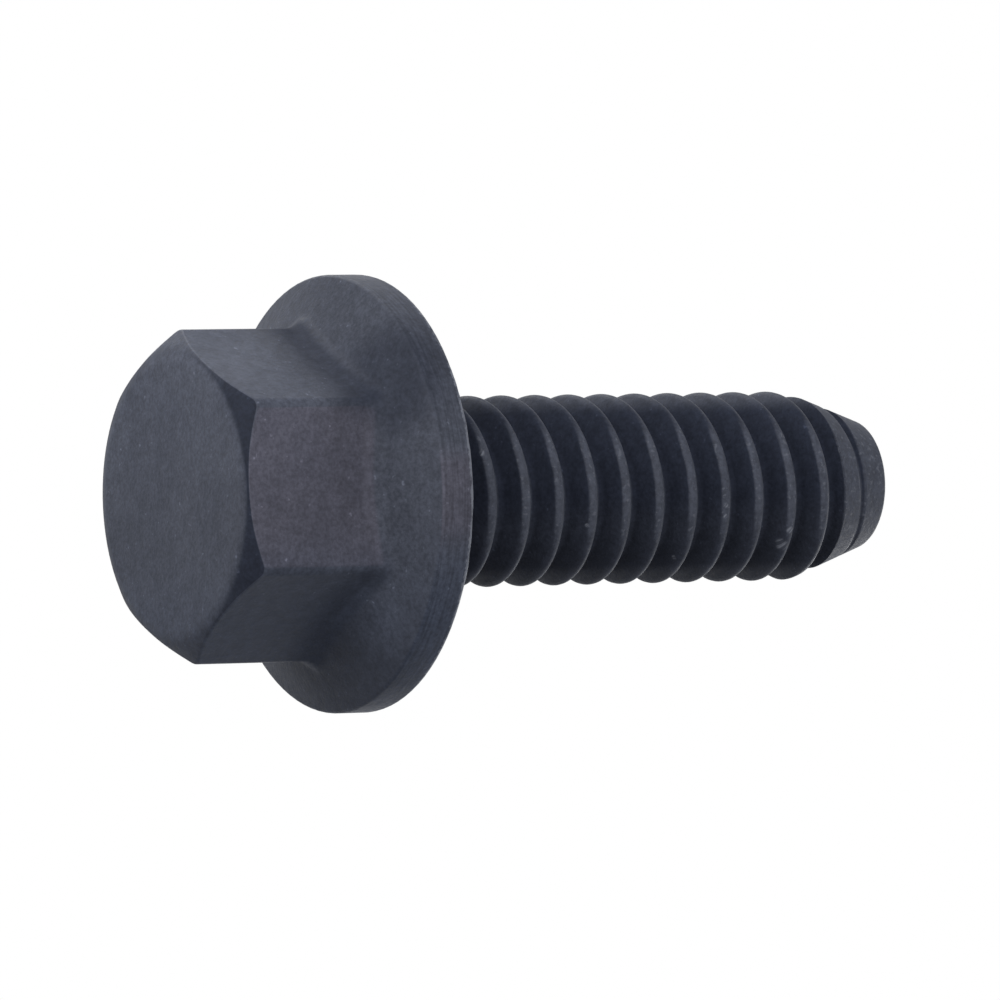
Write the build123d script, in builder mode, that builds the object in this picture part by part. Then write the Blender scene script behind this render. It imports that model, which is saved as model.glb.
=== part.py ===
from build123d import *
import math
import os

# A hexagon flange bolt, 1/4 inch by 20 threads per inch and 3/4 inch long, cold headed
# from one piece of steel with its thread rolled. Millimetres, +Z towards the point.
# The origin is the centre of the bearing face, the plane that clamps the work.
# The bolt stands on its flat head top, so the head lies below the origin.

# Head
across_flats = 9.4
corner_round = 0.4
head_height = 7.0
head_chamfer = math.radians(35)
head_flat_radius = 4.55
hexagon_foot_fillet = 0.35

# Flange, a washer forged in one with the head
flange_radius = 7.05
rim_height = 1.2
rim_round = 0.1
flange_slope = math.radians(24.5)
bearing_edge_chamfer = 0.12

# Shank
length = 18.85
major_radius = 3.1
neck_radius = 2.74
neck_length = 0.9
neck_bevel = 0.4
point_start = 16.0
point_end_radius = 2.08
point_edge_round = 0.2

# Thread: right hand, 60 degree flanks, with a flat crest and a flat root
pitch = 1.27
root_radius = 2.39
root_width = 0.2
flank = math.radians(30)
thread_start = 1.5

# The groove is cut in stretches of whole turns, by cutters that stand proud of the crests,
# and at its start it rises out of the metal in a run-out
stretch_turns = 5
stretch_count = 3
cutter_proud = 0.1
runout_turns = 0.6
runout_rise = 0.5


def groove_cutter(start, turns, first_radius, last_radius):
    """A solid that fills the thread groove, from +X at height start, on a cone if its radii differ."""
    height = turns * pitch
    slope = math.atan((last_radius - first_radius) / height)
    depth = major_radius + cutter_proud - root_radius
    half_root = root_width / 2
    half_mouth = half_root + depth * math.tan(flank)
    with BuildPart() as cutter:
        with BuildLine() as path:
            # a conical helix takes its pitch along the slant of its cone
            Helix(
                pitch=pitch / math.cos(slope),
                height=height,
                radius=first_radius,
                center=(0, 0, start),
                cone_angle=math.degrees(slope),
            )
        with BuildSketch(Plane((first_radius, 0, start), x_dir=(1, 0, 0), z_dir=(0, -1, 0))):
            with BuildLine():
                Polyline(
                    (0, half_root),
                    (0, -half_root),
                    (depth, -half_mouth),
                    (depth, half_mouth),
                    close=True,
                )
            make_face()
        sweep(path=path.line, is_frenet=True)
    return cutter.part


# Hexagon: a six-sided bar with rounded corners, its top end kept to a chamfered disc
corner_radius = across_flats / math.sqrt(3)
chamfer_drop = (corner_radius - head_flat_radius) * math.tan(head_chamfer)

with BuildPart() as hexagon:
    with BuildSketch(Plane.XY.offset(-head_height)):
        RegularPolygon(radius=across_flats / 2, side_count=6, major_radius=False)
    extrude(amount=head_height - rim_height)
    fillet(hexagon.edges().filter_by(Axis.Z), radius=corner_round)
    with BuildSketch(Plane.XZ):
        with BuildLine():
            Polyline(
                (0, -head_height),
                (head_flat_radius, -head_height),
                (corner_radius, -head_height + chamfer_drop),
                (corner_radius, 0),
                (0, 0),
                close=True,
            )
        make_face()
    revolve(axis=Axis.Z, mode=Mode.INTERSECT)

# Thread cutters: the full groove in stretches, then the run-out that leads into it
full_groove = [
    groove_cutter(thread_start + i * stretch_turns * pitch, stretch_turns, root_radius, root_radius)
    for i in range(stretch_count)
]
runout_start = thread_start - runout_turns * pitch
runout = groove_cutter(runout_start, runout_turns, root_radius + runout_rise, root_radius)
runout = runout.rotate(Axis.Z, -360 * runout_turns)

# The bolt: one turned blank for flange and shank, joined to the hexagon, then threaded.
# The cone of the flange runs on inside the hexagon, and the hexagon's corners meet it highest.
flange_foot = -rim_height - (flange_radius - head_flat_radius) * math.tan(flange_slope)
corner_foot = -rim_height - (flange_radius - corner_radius) * math.tan(flange_slope)

with BuildPart() as flange_bolt:
    with BuildSketch(Plane.XZ):
        with BuildLine():
            Polyline(
                (0, flange_foot),
                (head_flat_radius, flange_foot),
                (flange_radius, -rim_height),
                (flange_radius, 0),
                (neck_radius, 0),
                (neck_radius, neck_length),
                (major_radius, neck_length + major_radius - neck_radius),
                (major_radius, point_start),
                (point_end_radius, length),
                (0, length),
                close=True,
            )
        make_face()
    revolve(axis=Axis.Z)
    rings = flange_bolt.edges().filter_by(GeomType.CIRCLE).group_by(Axis.Z)
    rim_front = rings[1]
    bearing_rings = rings[2].sort_by(SortBy.RADIUS)
    chamfer(bearing_rings.first, length=neck_bevel)
    chamfer(bearing_rings.last, length=bearing_edge_chamfer)
    fillet(rim_front, radius=rim_round)
    fillet(rings[-1], radius=point_edge_round)
    add(hexagon.part)
    hexagon_foot = flange_bolt.edges().filter_by_position(Axis.Z, flange_foot, corner_foot)
    fillet(hexagon_foot - hexagon_foot.filter_by(GeomType.LINE), radius=hexagon_foot_fillet)
    add(full_groove + [runout], mode=Mode.SUBTRACT)

flange_bolt.part.label = "flange_bolt"
os.makedirs("parts", exist_ok=True)
export_step(flange_bolt.part, "parts/flange_bolt.step")
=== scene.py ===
import math

import bpy
from mathutils import Matrix, Vector


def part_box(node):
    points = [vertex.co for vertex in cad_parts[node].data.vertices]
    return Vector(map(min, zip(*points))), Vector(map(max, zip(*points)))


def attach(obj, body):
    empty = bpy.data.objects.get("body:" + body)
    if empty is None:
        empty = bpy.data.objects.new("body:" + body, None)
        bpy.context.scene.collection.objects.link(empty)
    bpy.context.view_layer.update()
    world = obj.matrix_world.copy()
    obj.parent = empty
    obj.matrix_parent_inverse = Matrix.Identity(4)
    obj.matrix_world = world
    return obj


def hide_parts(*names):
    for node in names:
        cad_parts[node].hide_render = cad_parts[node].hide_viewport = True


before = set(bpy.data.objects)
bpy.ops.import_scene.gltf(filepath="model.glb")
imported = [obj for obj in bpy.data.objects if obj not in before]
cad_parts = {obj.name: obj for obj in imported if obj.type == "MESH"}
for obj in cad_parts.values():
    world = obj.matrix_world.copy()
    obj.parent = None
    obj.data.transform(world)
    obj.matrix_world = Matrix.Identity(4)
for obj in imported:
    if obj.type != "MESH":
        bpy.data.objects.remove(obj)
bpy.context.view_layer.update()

head_top, point_end = (corner[2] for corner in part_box("flange_bolt"))
bpy.ops.object.select_all(action="DESELECT")


# ---------------------------------------------------------------------------------------
# The blank under the head. It is steel wire, cold headed, drawn down to a neck below the
# head and extruded to a tapered point, before any thread is on it.
# ---------------------------------------------------------------------------------------
mm = 0.001
around = 96

neck_radius = 2.74 * mm
neck_end = 0.9 * mm
thread_radius = 3.1 * mm
point_start = 16.0 * mm
point_radius = 2.08 * mm


def outline(name, points):
    """A chain of edges through (radius, height) points: one vertex, extruded from point to point."""
    bpy.ops.mesh.primitive_plane_add(size=mm, location=(points[0][0], 0, points[0][1]))
    chain = bpy.context.active_object
    chain.name = name
    bpy.ops.object.transform_apply(location=True)
    bpy.ops.object.mode_set(mode="EDIT")
    bpy.ops.mesh.select_mode(type="VERT")
    bpy.ops.mesh.merge(type="CENTER")
    for (r0, z0), (r1, z1) in zip(points, points[1:]):
        bpy.ops.mesh.extrude_region_move(TRANSFORM_OT_translate={"value": (r1 - r0, 0, z1 - z0)})
    bpy.ops.object.mode_set(mode="OBJECT")
    return chain


def turned(name, points):
    """A closed solid of revolution whose outline starts and ends on the axis."""
    solid = outline(name, points)
    bpy.ops.object.mode_set(mode="EDIT")
    bpy.ops.mesh.select_all(action="SELECT")
    bpy.ops.mesh.spin(steps=around, angle=math.tau, center=(0, 0, 0), axis=(0, 0, 1))
    bpy.ops.mesh.select_all(action="SELECT")
    bpy.ops.mesh.remove_doubles(threshold=0.001 * mm)
    bpy.ops.mesh.normals_make_consistent(inside=False)
    bpy.ops.object.mode_set(mode="OBJECT")
    return solid


# how far a blank stands clear of what it shapes, and how far it runs on past its ends
room = 0.2 * mm
beyond = 2.0 * mm
taper = (thread_radius - point_radius) / (point_end - point_start)

blank = turned("blank", [
    (0, -beyond),
    (neck_radius, -beyond),
    (neck_radius, neck_end),
    (thread_radius + room, neck_end + thread_radius + room - neck_radius),
    (thread_radius + room, point_start - room / taper),
    (point_radius - beyond * taper, point_end + beyond),
    (0, point_end + beyond),
])


# ---------------------------------------------------------------------------------------
# The thread, rolled into the blank between two dies. Its metal is pushed up out of the
# grooves into crests with soft edges, and where the blank is too thin for the dies to
# fill them, at the neck and on the point, the crests stay low.
# ---------------------------------------------------------------------------------------
pitch = 1.27 * mm
root_radius = 2.39 * mm
half_root = 0.1 * mm
half_crest = 0.135 * mm
crest_round = 0.12 * mm
root_round = 0.08 * mm
groove_height = 1.5 * mm
flank_cuts = 7
edge_cuts = 3
turns_below = 2
turns = 17

# one groove from crest to crest, started below the neck and run on past the point
groove_start = groove_height - turns_below * pitch
shank = outline("flange_bolt_shank", [
    (root_radius, groove_start),
    (root_radius, groove_start + half_root),
    (thread_radius, groove_start + pitch / 2 - half_crest),
    (thread_radius, groove_start + pitch / 2 + half_crest),
    (root_radius, groove_start + pitch - half_root),
    (root_radius, groove_start + pitch),
])


def select_vertices(piece, wanted):
    """Leaves edit mode with just the vertices selected whose place is wanted, and goes back in."""
    bpy.ops.object.mode_set(mode="EDIT")
    bpy.ops.mesh.select_mode(type="VERT")
    bpy.ops.mesh.select_all(action="DESELECT")
    bpy.ops.object.mode_set(mode="OBJECT")
    for vertex in piece.data.vertices:
        vertex.select = wanted(vertex.co)
    bpy.ops.object.mode_set(mode="EDIT")


def radius_of(place):
    return math.hypot(place.x, place.y)


near = 0.001 * mm
select_vertices(shank, lambda place: radius_of(place) > thread_radius - near)
bpy.ops.mesh.bevel(offset=crest_round, segments=edge_cuts, affect="VERTICES")
low_corner = groove_start + half_root
high_corner = groove_start + pitch - half_root
select_vertices(
    shank,
    lambda place: min(abs(place.z - low_corner), abs(place.z - high_corner)) < near,
)
bpy.ops.mesh.bevel(offset=root_round, segments=edge_cuts, affect="VERTICES")

# the flanks, its only long edges by now, are divided so that they can take the blank's form
bpy.ops.mesh.select_all(action="DESELECT")
bpy.ops.mesh.select_mode(type="EDGE")
bpy.ops.object.mode_set(mode="OBJECT")
for edge in shank.data.edges:
    ends = [shank.data.vertices[end].co for end in edge.vertices]
    edge.select = (ends[1] - ends[0]).length > crest_round + root_round
bpy.ops.object.mode_set(mode="EDIT")
bpy.ops.mesh.subdivide(number_cuts=flank_cuts)
bpy.ops.object.mode_set(mode="OBJECT")

rolled = shank.modifiers.new("rolled", "SCREW")
rolled.axis = "Z"
rolled.steps = rolled.render_steps = around
rolled.screw_offset = pitch
rolled.iterations = turns
rolled.use_merge_vertices = True
bpy.ops.object.modifier_apply(modifier=rolled.name)
bpy.ops.object.mode_set(mode="EDIT")
bpy.ops.mesh.select_mode(type="VERT")
bpy.ops.mesh.select_all(action="SELECT")
bpy.ops.mesh.remove_doubles(threshold=near)
bpy.ops.mesh.normals_make_consistent(inside=False)
bpy.ops.object.mode_set(mode="OBJECT")

# the dies end short of the head, so the grooves come up out of the wire in a cone
cone_slope = 1.5
cone_end = neck_end + cone_slope * (neck_radius - root_radius + room)
core = turned("core", [
    (0, -beyond),
    (neck_radius, -beyond),
    (neck_radius, neck_end),
    (root_radius - room, cone_end),
    (0, cone_end),
])


def held(piece, target, side):
    """Moves each point of the piece that is on the wrong side of the target's skin onto that skin."""
    wrap = piece.modifiers.new("wrap", "SHRINKWRAP")
    wrap.target = target
    wrap.wrap_method = "NEAREST_SURFACEPOINT"
    wrap.wrap_mode = side
    bpy.context.view_layer.objects.active = piece
    bpy.ops.object.modifier_apply(modifier=wrap.name)
    bpy.data.objects.remove(target)


held(shank, blank, "INSIDE")
held(shank, core, "OUTSIDE")


def cut(piece, height, **side):
    """Cuts the piece off level at a height, and leaves the vertices of the cut selected."""
    select_vertices(piece, lambda place: True)
    bpy.ops.mesh.bisect(plane_co=(0, 0, height), plane_no=(0, 0, 1), threshold=0.1 * near, **side)


def round_off(centre, radius, first, last, steps):
    """Extrudes the selected ring along an arc about a centre in (radius, height), between two angles."""
    angles = [first + (last - first) * step / steps for step in range(steps + 1)]
    rings = [
        (centre[0] + radius * math.cos(angle), centre[1] + radius * math.sin(angle))
        for angle in angles
    ]
    for (r0, z0), (r1, z1) in zip(rings, rings[1:]):
        bpy.ops.mesh.extrude_region_move(TRANSFORM_OT_translate={"value": (0, 0, z1 - z0)})
        bpy.ops.transform.resize(value=(r1 / r0, r1 / r0, 1), center_override=(0, 0, 0))


# the rim of the point is rolled round, and the end face inside it is flat
point_round = 0.2 * mm
arc_cuts = 6
lean = math.atan(taper)
point_arc = (
    point_radius - point_round * math.tan(math.pi / 4 - lean / 2),
    point_end - point_round,
)
cut(shank, point_arc[1] + point_round * math.sin(lean), clear_outer=True)
round_off(point_arc, point_round, lean, math.pi / 2, arc_cuts)
bpy.ops.mesh.edge_face_add()

# the neck runs into the bearing face in a fillet
neck_fillet = 0.4 * mm
neck_arc = (neck_radius + neck_fillet, neck_fillet)
cut(shank, neck_fillet, clear_inner=True)
round_off(neck_arc, neck_fillet, math.pi, 1.5 * math.pi, arc_cuts)
bpy.ops.object.mode_set(mode="OBJECT")


# ---------------------------------------------------------------------------------------
# The hexagon, upset from the end of the same wire in a six-sided die, which leaves its
# corners soft, and trimmed to a cone at its top so that a socket slips on.
# ---------------------------------------------------------------------------------------
across_flats = 9.4 * mm
corner_tangent = 0.24 * mm
corner_cuts = 6
chamfer_slope = math.radians(35)
head_flat_radius = 4.55 * mm
top_roll = 0.3 * mm
roll_cuts = 3
rim_height = 1.2 * mm

corner_radius = across_flats / math.sqrt(3)
bpy.ops.mesh.primitive_cylinder_add(
    vertices=6,
    radius=corner_radius,
    depth=-rim_height - head_top,
    location=(0, 0, (head_top - rim_height) / 2),
    rotation=(0, 0, math.radians(30)),
)
hexagon = bpy.context.active_object
hexagon.name = "flange_bolt_head"
bpy.ops.object.transform_apply(location=True, rotation=True)
bpy.ops.object.mode_set(mode="EDIT")
bpy.ops.mesh.select_mode(type="EDGE")
bpy.ops.mesh.select_all(action="DESELECT")
bpy.ops.object.mode_set(mode="OBJECT")
for edge in hexagon.data.edges:
    ends = [hexagon.data.vertices[end].co for end in edge.vertices]
    edge.select = abs(ends[1].z - ends[0].z) > near
bpy.ops.object.mode_set(mode="EDIT")
bpy.ops.mesh.bevel(offset=corner_tangent, segments=corner_cuts)
bpy.ops.object.mode_set(mode="OBJECT")

# the trimming die rolls the edge between the flat top and the chamfer over
flat_end = head_flat_radius - top_roll
roll_radius = top_roll / math.tan(chamfer_slope / 2)
roll_angles = [chamfer_slope * step / roll_cuts for step in range(roll_cuts + 1)]
just_above = head_top - near
roll_arc = [
    (flat_end + roll_radius * math.sin(angle), just_above + roll_radius * (1 - math.cos(angle)))
    for angle in roll_angles
]
cone = turned("cone", [
    (0, just_above),
    *roll_arc,
    (head_flat_radius + beyond, just_above + beyond * math.tan(chamfer_slope)),
    (head_flat_radius + beyond, 0),
    (0, 0),
])


def combined(piece, other, operation):
    """Applies a boolean of the piece with another, which is used up."""
    bpy.ops.object.select_all(action="DESELECT")
    boolean = piece.modifiers.new("boolean", "BOOLEAN")
    boolean.operation = operation
    boolean.solver = "EXACT"
    boolean.object = other
    bpy.context.view_layer.objects.active = piece
    bpy.ops.object.modifier_apply(modifier=boolean.name)
    bpy.data.objects.remove(other)


combined(hexagon, cone, "INTERSECT")


# ---------------------------------------------------------------------------------------
# The flange, a washer forged in one with the head. Its top slopes up to the hexagon, and
# the metal has flowed into a soft fillet there. Its two rim edges are rounded by the die.
# ---------------------------------------------------------------------------------------
flange_radius = 7.05 * mm
flange_slope = math.radians(24.5)
rim_round = 0.1 * mm
bearing_round = 0.12 * mm
bearing_inner = 3.7 * mm
foot_fillet = 0.55 * mm
soft_edge = 0.06 * mm
fillet_cuts = 8
soft_cuts = 3
rim_cuts = 5
bearing_cuts = 4
knock = 0.02 * mm
knocked_side = -0.8 * flange_radius
weld = 5 * near

flange_top = -rim_height - (flange_radius - head_flat_radius) * math.tan(flange_slope)
flange = turned("flange", [
    (0, 0),
    (bearing_inner, 0),
    (flange_radius, 0),
    (flange_radius, -rim_height),
    (head_flat_radius, flange_top),
    (0, flange_top),
])
combined(hexagon, flange, "UNION")
bpy.ops.object.mode_set(mode="EDIT")
bpy.ops.mesh.select_mode(type="VERT")
bpy.ops.mesh.select_all(action="SELECT")
bpy.ops.mesh.remove_doubles(threshold=weld)
bpy.ops.mesh.dissolve_degenerate(threshold=near)
bpy.ops.object.mode_set(mode="OBJECT")


def rounded(piece, size, cuts, wanted, **how):
    """Rounds the sharp edges whose middle and two face normals, lower one first, are wanted."""
    sides = {}
    for face in piece.data.polygons:
        for key in face.edge_keys:
            sides.setdefault(key, []).append(face.normal.copy())
    bpy.ops.object.mode_set(mode="EDIT")
    bpy.ops.mesh.select_mode(type="EDGE")
    bpy.ops.mesh.select_all(action="DESELECT")
    bpy.ops.object.mode_set(mode="OBJECT")
    for edge in piece.data.edges:
        start, end = (piece.data.vertices[index].co for index in edge.vertices)
        low, high = sorted(sides[edge.key], key=lambda normal: normal.z)
        edge.select = low.angle(high) > sharp and wanted((start + end) / 2, low, high)
    bpy.ops.object.mode_set(mode="EDIT")
    bpy.ops.mesh.bevel(offset=size, segments=cuts, **how)
    bpy.ops.object.mode_set(mode="OBJECT")


sharp = math.radians(12)
wall = 0.1

# the foot of the hexagon, where its walls meet the slope of the flange
rounded(
    hexagon,
    foot_fillet,
    fillet_cuts,
    lambda middle, low, high: abs(high.z) < wall < -low.z
    and middle.z > head_top / 2
    and radius_of(middle) < corner_radius,
    loop_slide=False,
)

# the soft edges of the chamfer, round the head top and where it meets the walls
rounded(
    hexagon,
    soft_edge,
    soft_cuts,
    lambda middle, low, high: middle.z < head_top / 2 and low.z < -wall,
)

# the two edges of the flange's rim, the rear one with a few knocks on the -Y side
rounded(
    hexagon,
    rim_round,
    rim_cuts,
    lambda middle, low, high: middle.z < -near and radius_of(middle) > corner_radius,
)
rounded(hexagon, bearing_round, bearing_cuts, lambda middle, low, high: abs(middle.z) < near)
select_vertices(
    hexagon,
    lambda place: -bearing_round < place.z < -near
    and radius_of(place) > corner_radius
    and place.y < knocked_side,
)
bpy.ops.transform.vertex_random(offset=knock, uniform=0.5, seed=4)
bpy.ops.object.mode_set(mode="OBJECT")


# ---------------------------------------------------------------------------------------
# The whole bolt: head and shank are one forging, so the bearing face is bridged to the neck.
# It is blackened in hot salts, which leaves a matt and fine-grained coat of blue-grey
# magnetite that knocks wear through. Painted shade darkens its corners and grooves, and painted light
# lightens its head, flange and crests.
# ---------------------------------------------------------------------------------------
smooth_under = math.radians(30)

select_vertices(hexagon, lambda place: abs(place.z) < near and radius_of(place) < bearing_inner - near)
bpy.ops.mesh.delete(type="VERT")
bpy.ops.object.mode_set(mode="OBJECT")
bpy.ops.object.select_all(action="DESELECT")
shank.select_set(True)
hexagon.select_set(True)
bpy.context.view_layer.objects.active = hexagon
bpy.ops.object.join()
bolt = hexagon
bolt.name = "flange_bolt_body"
bpy.ops.object.mode_set(mode="EDIT")
bpy.ops.mesh.select_mode(type="EDGE")
bpy.ops.mesh.select_all(action="DESELECT")
bpy.ops.mesh.select_non_manifold(extend=False)
bpy.ops.mesh.bridge_edge_loops()
bpy.ops.mesh.select_all(action="SELECT")
bpy.ops.mesh.normals_make_consistent(inside=False)
bpy.ops.object.mode_set(mode="OBJECT")
bpy.ops.object.shade_smooth_by_angle(angle=smooth_under)
bpy.ops.object.select_all(action="DESELECT")
bolt.select_set(True)
weighted = bolt.modifiers.new("weighted", "WEIGHTED_NORMAL")
weighted.keep_sharp = True
bpy.ops.object.modifier_apply(modifier=weighted.name)

oxide = bpy.data.materials.new("black_oxide_steel")
oxide.use_nodes = True
nodes, links = oxide.node_tree.nodes, oxide.node_tree.links
shader = nodes["Principled BSDF"]


def feed(socket, value):
    """Gives a socket either a plain value or another node's output."""
    if isinstance(value, bpy.types.NodeSocket):
        links.new(value, socket)
    else:
        socket.default_value = value


def reckoned(operation, first, second=0.0):
    """A Math node: first and second put together by the operation."""
    node = nodes.new("ShaderNodeMath")
    node.operation = operation
    feed(node.inputs[0], first)
    feed(node.inputs[1], second)
    return node.outputs["Value"]


def plus(first, second):
    """The sum of two values."""
    return reckoned("ADD", first, second)


def less(first, second):
    """The first value less the second."""
    return reckoned("SUBTRACT", first, second)


def times(first, *others):
    """The product of all the values."""
    for other in others:
        first = reckoned("MULTIPLY", first, other)
    return first


def larger(first, *others):
    """The largest of the values."""
    for other in others:
        first = reckoned("MAXIMUM", first, other)
    return first


def spread(value, low, high, bottom=0.0, top=1.0):
    """Spreads a value that runs from low to high softly from bottom to top."""
    node = nodes.new("ShaderNodeMapRange")
    node.interpolation_type = "SMOOTHSTEP"
    feed(node.inputs["Value"], value)
    node.inputs["From Min"].default_value = low
    node.inputs["From Max"].default_value = high
    node.inputs["To Min"].default_value = bottom
    node.inputs["To Max"].default_value = top
    return node.outputs["Result"]


def cloud(vector, size, detail=3.0, roughness=0.5):
    """Noise whose lumps are about size across, in metres."""
    node = nodes.new("ShaderNodeTexNoise")
    feed(node.inputs["Vector"], vector)
    node.inputs["Scale"].default_value = 1.0 / size
    node.inputs["Detail"].default_value = detail
    node.inputs["Roughness"].default_value = roughness
    return node.outputs["Fac"]


def reckoned_vector(operation, vector, other, result="Vector"):
    """A Vector Math node: a vector and a fixed one put together by the operation."""
    node = nodes.new("ShaderNodeVectorMath")
    node.operation = operation
    feed(node.inputs[0], vector)
    node.inputs[1].default_value = other
    return node.outputs[result]


def coloured(factor, first, second):
    """Mixes two colours."""
    node = nodes.new("ShaderNodeMix")
    node.data_type = "RGBA"
    feed(node.inputs["Factor"], factor)
    feed(node.inputs["A"], first)
    feed(node.inputs["B"], second)
    return node.outputs["Result"]


def shaded(colour, amount):
    """Multiplies a colour by a grey value, which may be over 1."""
    node = nodes.new("ShaderNodeVectorMath")
    node.operation = "SCALE"
    feed(node.inputs[0], colour)
    feed(node.inputs["Scale"], amount)
    return node.outputs["Vector"]


def parts(vector):
    """The X, Y and Z of a vector."""
    node = nodes.new("ShaderNodeSeparateXYZ")
    links.new(vector, node.inputs["Vector"])
    return node.outputs["X"], node.outputs["Y"], node.outputs["Z"]


# where a point of the skin lies, and which way it faces
coordinates = nodes.new("ShaderNodeTexCoord")
place = coordinates.outputs["Object"]
place_x, _, height = parts(place)
facing_x, facing_y, lift = parts(coordinates.outputs["Normal"])
sideways = reckoned("ABSOLUTE", place_x)
on_the_level = reckoned_vector("MULTIPLY", place, (1, 1, 0))
radius = reckoned_vector("DISTANCE", on_the_level, (0, 0, 0), "Value")

# the oxide's crystals: fine grain in softer clouds, with bright specks, and a slow drift
grain_size = 0.13 * mm
blotch_size = 0.4 * mm
speck_size = 0.17 * mm
drift_size = 3.5 * mm
crystal_roughness = 0.6
grain = cloud(place, grain_size, roughness=crystal_roughness)
blotch = cloud(place, blotch_size, roughness=crystal_roughness)
specks = times(spread(cloud(place, speck_size, 1.0), 0.68, 0.8), spread(blotch, 0.42, 0.62))
drift = spread(cloud(place, drift_size, 2.0), 0.35, 0.65, 0.0, 0.2)

# how deep a place lies below the thread's crests, which come in along the point. The edge
# of the crests' bright band, wear and painted highlight in one, wavers, and it is narrower at the bolt's
# -X and +X sides.
waver = 0.04 * mm
narrowed = 0.08 * mm
cone_radius = less(thread_radius + taper * point_start, times(height, taper))
crest_radius = reckoned("MINIMUM", thread_radius, cone_radius)
depth = less(less(crest_radius, radius), waver / 2)
depth = plus(depth, times(cloud(place, 0.35 * mm, 2.0), waver))
depth = plus(depth, spread(sideways, 0.8 * mm, 2.4 * mm, 0.0, narrowed))

# the thread: painted shade darkens the flanks of its grooves that face the head. Painted light
# lifts that shade on the +X half, most at the -X and +X sides. The crests are painted bright, rubbing
# and a painted highlight in one, less on the point.
on_shank = spread(height, 0.2 * mm, 0.9 * mm)
off_shank = less(1.0, on_shank)
groove_lit = larger(
    spread(sideways, 2.3 * mm, 2.9 * mm, 0.0, 0.85),
    spread(place_x, 0.3 * mm, 1.6 * mm, 0.0, 0.32),
)
headward = spread(lift, 0.5, -0.1)
groove_shade = times(spread(depth, 0.03 * mm, 0.1 * mm), on_shank, headward, less(1.0, groove_lit))
on_crest = times(spread(depth, 0.1 * mm, 0.03 * mm), on_shank)
less_on_point = spread(height, 15.3 * mm, 15.9 * mm, 1.0, 0.6)
crest_rub_and_highlight = times(on_crest, spread(sideways, 2.6 * mm, 1.2 * mm), less_on_point)

# the head: its chamfer, painted darker, less so at the corners that point to -X and +X,
# and painted light on its upper half, most towards -X
at_chamfer = times(
    spread(lift, -0.985, -0.89),
    spread(lift, -0.5, -0.7),
    spread(height, head_top + 1.0 * mm, head_top + 0.8 * mm),
    spread(sideways, 2.9 * mm, 4.8 * mm, 1.0, 0.35),
)
head_painted_light = times(
    spread(height, -3.2 * mm, -5.0 * mm),
    spread(place_x, 2.5 * mm, -4.5 * mm, 0.03, 0.4),
)

# painted shade at the foot of the hexagon's walls, save the two that face -Y and +Y, darker on the -X
# side
foot_shade = times(
    spread(height, -3.8 * mm, -2.4 * mm),
    spread(height, -0.9 * mm, -1.3 * mm),
    spread(radius, 5.9 * mm, 5.6 * mm),
    spread(lift, -0.85, -0.5),
    spread(sideways, 2.4 * mm, 2.9 * mm),
    spread(place_x, -1.0 * mm, 1.0 * mm, 0.75, 0.4),
)

# a violet film, painted lighter too, on the skin of the head that faces -Y, and painted shade, bluer and
# darker, on its +X side
violet_film_and_light = times(
    spread(facing_x, -0.18, -0.04),
    spread(facing_x, 0.36, 0.18),
    spread(facing_y, -0.8, -0.9),
    off_shank,
)
far_side_shade = times(
    spread(place_x, 1.0 * mm, 4.5 * mm, 0.0, 0.6),
    spread(lift, -0.85, -0.5, 0.35, 1.0),
    off_shank,
)


def patch(centre, reach, core, strength=1.0):
    """A soft patch about a place in millimetres, full within its core and gone at its reach."""
    how_far = reckoned_vector("DISTANCE", place, Vector(centre) * mm, "Value")
    return spread(how_far, reach * mm, core * mm, 0.0, strength)


# three darker patches on the flange, and one patch of painted light, all round the foot of the hexagon
dark_patches = larger(
    times(patch((-3.3, -4.9, -1.7), 2.6, 1.0, 0.62), spread(radius, 4.9 * mm, 5.5 * mm)),
    patch((5.6, -1.5, -2.2), 4.0, 1.5, 0.33),
    patch((-5.8, -0.5, -1.75), 2.2, 0.7, 0.2),
)
flange_painted_light = times(patch((4.0, -3.4, -2.1), 2.0, 0.5, 0.45), spread(lift, -0.15, -0.45))

# the fine lines round the flange's rim, and the ragged bright line along its rear edge, wear and a
# painted highlight in one
on_rim = times(spread(radius, 6.9 * mm, 7.0 * mm), spread(lift, -0.6, -0.3))
turning = cloud(reckoned_vector("MULTIPLY", place, (0.05, 0.05, 1.0)), 0.09 * mm, 2.0)
rim_lines = times(on_rim, spread(turning, 0.35, 0.65, -0.12, 0.2))
ragged = plus(height, times(cloud(place, 0.12 * mm, 2.0), 0.2 * mm))
rear_edge = times(spread(radius, 6.88 * mm, 6.95 * mm), spread(ragged, -0.06 * mm, 0.0))

# the nicks the thread has taken, each a bundle of slanting scratches: their places on the
# crests and their reach, in millimetres
nicks = [
    ((-1.07, -2.87, 2.89), 0.13),
    ((1.31, -2.7, 6.83), 0.1),
    ((2.38, -1.75, 10.67), 0.12),
    ((0.77, -3.0, 11.98), 0.11),
    ((1.12, -2.88, 12.02), 0.1),
    ((2.06, -2.25, 14.51), 0.28),
    ((1.6, -2.65, 14.63), 0.16),
    ((-1.5, -2.7, 14.5), 0.14),
]
scratch_direction = (0.5, 0.2, 0.85)
nick_core = 0.4
across_scratches = reckoned_vector("DOT_PRODUCT", place, scratch_direction, "Value")
scratches = spread(cloud(across_scratches, 0.1 * mm, 1.0), 0.45, 0.58, 0.15, 0.9)
nick_patches = [patch(centre, reach, nick_core * reach) for centre, reach in nicks]
nicked = times(larger(*nick_patches), scratches)

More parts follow.
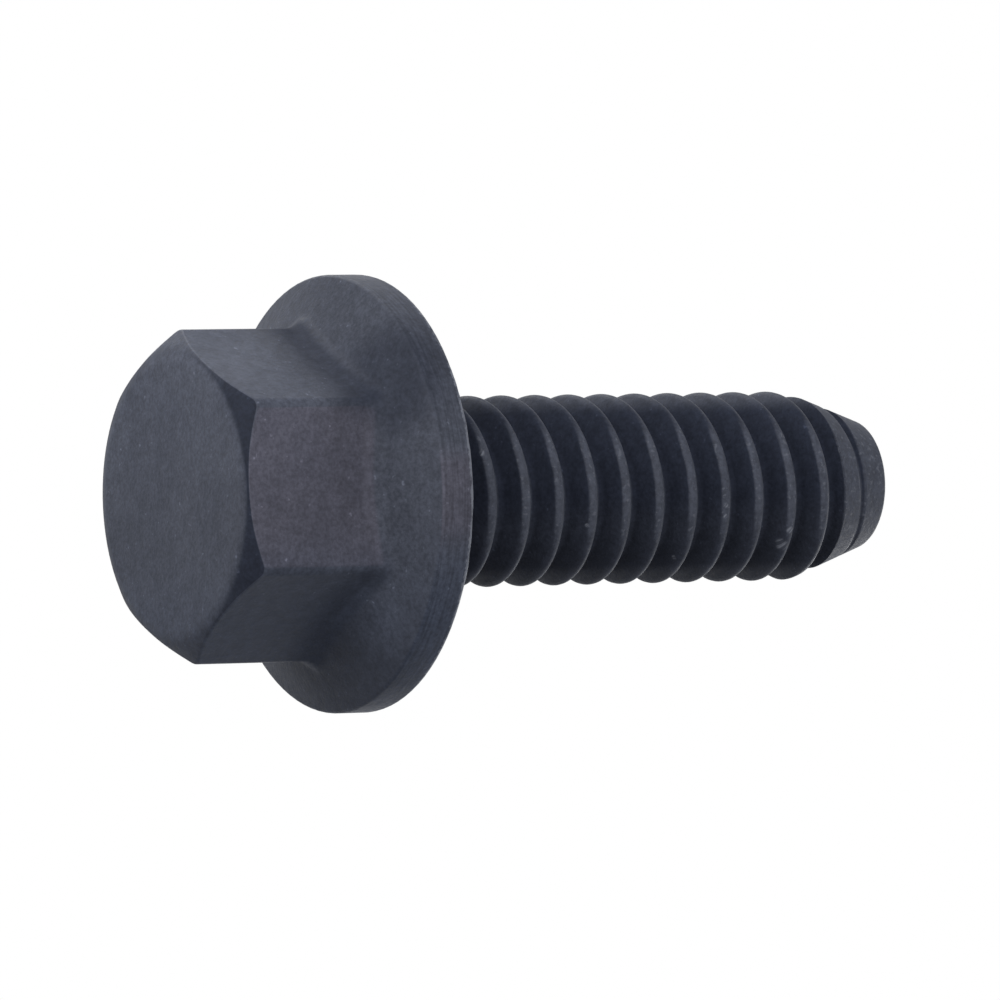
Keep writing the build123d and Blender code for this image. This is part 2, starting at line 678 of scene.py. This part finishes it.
# the colours: the plain coat, the film on it, painted lighter, a dark tone that is also the painted
# shade in corners and grooves, the painted shade on the far side, and the steel where the coat is worn
# through
slate = (0.0585, 0.0645, 0.085, 1)
violet = (0.0755, 0.0755, 0.099, 1)
dark_tone_and_shade = (0.021, 0.025, 0.039, 1)
dusk = (0.048, 0.06, 0.094, 1)
bare = (0.21, 0.225, 0.27, 1)
foot_shade_strength = 0.8
speck_gain = 0.9

tone = coloured(violet_film_and_light, slate, violet)
tone = coloured(far_side_shade, tone, dusk)
tone = coloured(drift, tone, dark_tone_and_shade)
tone = coloured(dark_patches, tone, dark_tone_and_shade)
# painted light on the head's upper half and on a patch of the flange
tone = shaded(tone, plus(1.0, plus(head_painted_light, flange_painted_light)))
# painted shade in the grooves, and the crests' rubbing and painted highlight
tone = coloured(groove_shade, tone, dark_tone_and_shade)
tone = shaded(tone, spread(crest_rub_and_highlight, 0.0, 1.0, 1.08, 1.25))
# the chamfer painted darker
tone = coloured(at_chamfer, tone, dark_tone_and_shade)
# painted shade at the foot of the walls
tone = coloured(times(foot_shade, foot_shade_strength), tone, dark_tone_and_shade)
tone = shaded(tone, spread(grain, 0.28, 0.72, 0.81, 1.2))
tone = shaded(tone, spread(blotch, 0.3, 0.7, 0.88, 1.11))
tone = shaded(tone, plus(1.0, times(specks, speck_gain)))
tone = shaded(tone, plus(1.0, rim_lines))
# the rear edge's bright line, wear and a painted highlight in one, and bare wear on the crests
worn_and_highlit_edge = times(rear_edge, spread(blotch, 0.36, 0.56, 0.1, 0.75))
worn_crest = times(on_crest, spread(cloud(place, 0.16 * mm, 2.0), 0.58, 0.7, 0.0, 0.3))
tone = coloured(larger(worn_and_highlit_edge, worn_crest, nicked), tone, bare)
links.new(tone, shader.inputs["Base Color"])

# the grain makes the coat matt, and it is mattest in corners, which nothing rubs
corner_matt = 0.3
coat_gloss = 0.07
relief_depth = 0.02 * mm
relief_strength = 0.6
blotch_relief = 1.5
rough = plus(spread(grain, 0.3, 0.7, 0.44, 0.6), times(larger(groove_shade, foot_shade), corner_matt))
links.new(rough, shader.inputs["Roughness"])
shader.inputs["Specular IOR Level"].default_value = coat_gloss

relief = nodes.new("ShaderNodeBump")
relief.inputs["Strength"].default_value = relief_strength
relief.inputs["Distance"].default_value = relief_depth
links.new(plus(grain, times(blotch, blotch_relief)), relief.inputs["Height"])
links.new(relief.outputs["Normal"], shader.inputs["Normal"])

bolt.data.materials.clear()
bolt.data.materials.append(oxide)

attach(bolt, "root")
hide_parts("flange_bolt")


# ---------------------------------------------------------------------------------------
# The table, a pale sheet the bolt stands on with its head down. It shows itself and the
# bolt's shadow from above, and from below, where the main view looks from, it isn't there.
# ---------------------------------------------------------------------------------------
table_size = 1.2
table_gap = 0.005 * mm
sheet_grey = 0.8
sheet_roughness = 0.9
sheet_glow = 0.5

bpy.ops.mesh.primitive_plane_add(size=table_size, location=(0, 0, head_top - table_gap))
table = bpy.context.active_object
table.name = "table"
bpy.ops.object.transform_apply(location=True)
sheet = bpy.data.materials.new("pale_sheet")
sheet.use_nodes = True
nodes, links = sheet.node_tree.nodes, sheet.node_tree.links
paint = nodes["Principled BSDF"]
paint.inputs["Base Color"].default_value = (sheet_grey, sheet_grey, sheet_grey, 1)
paint.inputs["Roughness"].default_value = sheet_roughness
paint.inputs["Emission Color"].default_value = (1, 1, 1, 1)
paint.inputs["Emission Strength"].default_value = sheet_glow
clear = nodes.new("ShaderNodeBsdfTransparent")
rays = nodes.new("ShaderNodeLightPath")
side = nodes.new("ShaderNodeNewGeometry")
seen_from_above = nodes.new("ShaderNodeMath")
seen_from_above.operation = "SUBTRACT"
seen_from_above.use_clamp = True
shown = nodes.new("ShaderNodeMixShader")
links.new(rays.outputs["Is Camera Ray"], seen_from_above.inputs[0])
links.new(side.outputs["Backfacing"], seen_from_above.inputs[1])
links.new(seen_from_above.outputs["Value"], shown.inputs["Fac"])
links.new(clear.outputs["BSDF"], shown.inputs[1])
links.new(paint.outputs["BSDF"], shown.inputs[2])
links.new(shown.outputs["Shader"], nodes["Material Output"].inputs["Surface"])
table.data.materials.append(sheet)


# ---------------------------------------------------------------------------------------
# The light: three soft lamps on the bolt's -X side and four weaker ones round it, in a room
# that is white where it is seen or mirrored and gives a plain grey fill besides.
# ---------------------------------------------------------------------------------------
fill_level = 0.17
lamp_size = 150 * mm

scene = bpy.context.scene
room_light = bpy.data.worlds.new("white_room")
scene.world = room_light
room_light.use_nodes = True
nodes, links = room_light.node_tree.nodes, room_light.node_tree.links
backdrop = nodes["Background"]
rays = nodes.new("ShaderNodeLightPath")
seen_or_mirrored = nodes.new("ShaderNodeMath")
seen_or_mirrored.operation = "MAXIMUM"
seen_at_all = nodes.new("ShaderNodeMath")
seen_at_all.operation = "MAXIMUM"
level = nodes.new("ShaderNodeMapRange")
links.new(rays.outputs["Is Camera Ray"], seen_or_mirrored.inputs[0])
links.new(rays.outputs["Is Glossy Ray"], seen_or_mirrored.inputs[1])
links.new(seen_or_mirrored.outputs["Value"], seen_at_all.inputs[0])
links.new(rays.outputs["Is Transmission Ray"], seen_at_all.inputs[1])
links.new(seen_at_all.outputs["Value"], level.inputs["Value"])
level.inputs["To Min"].default_value = fill_level
level.inputs["To Max"].default_value = 1.0
links.new(level.outputs["Result"], backdrop.inputs["Strength"])
backdrop.inputs["Color"].default_value = (1, 1, 1, 1)


def lamp(name, place, power):
    """A square area lamp that faces the bolt from a place in millimetres."""
    bpy.ops.object.light_add(type="AREA", location=Vector(place) * mm)
    light = bpy.context.active_object
    light.name = name
    light.data.size = lamp_size
    light.data.energy = power
    light.rotation_euler = (-Vector(place)).to_track_quat("-Z", "Y").to_euler()


lamp("high", (-140, -110, -110), 0.198)
lamp("high_far", (-165, 130, 0), 0.231)
lamp("high_head", (-95, 0, -188), 0.17)
lamp("low_head", (45, -20, -205), 0.024)
lamp("front", (0, -210, 0), 0.15)
lamp("point_side", (0, -150, 150), 0.05)
lamp("over", (50, 70, 200), 0.16)


# ---------------------------------------------------------------------------------------
# The camera, which looks up at the head from the -Y side through a long lens. The bolt lies
# nearly level in its view, with the head to the left and the point further off.
# ---------------------------------------------------------------------------------------
off_axis = math.radians(58.6)
turned_by = math.radians(3.25)
roll = math.radians(1.1)
distance = 400 * mm
lens = 447.5
sensor_width = 36
target_right = -4.48 * mm
target_up = 0.205 * mm
nearest = 10 * mm

across = Vector((math.cos(turned_by), math.sin(turned_by), 0))
towards = Vector((math.sin(turned_by), -math.cos(turned_by), 0))
axis = Vector((0, 0, 1))
forward = math.cos(off_axis) * axis - math.sin(off_axis) * towards
level_right = math.sin(off_axis) * axis + math.cos(off_axis) * towards
right = math.cos(roll) * level_right + math.sin(roll) * across
up = math.sin(roll) * level_right - math.cos(roll) * across
stand = -target_right * right - target_up * up - distance * forward
turn = Matrix((right, up, -forward)).transposed().to_4x4()
bpy.ops.object.camera_add()
camera = bpy.context.active_object
camera.data.lens = lens
camera.data.sensor_width = sensor_width
camera.data.clip_start = nearest
camera.matrix_world = Matrix.Translation(stand) @ turn
scene.camera = camera
scene.view_settings.view_transform = "Standard"
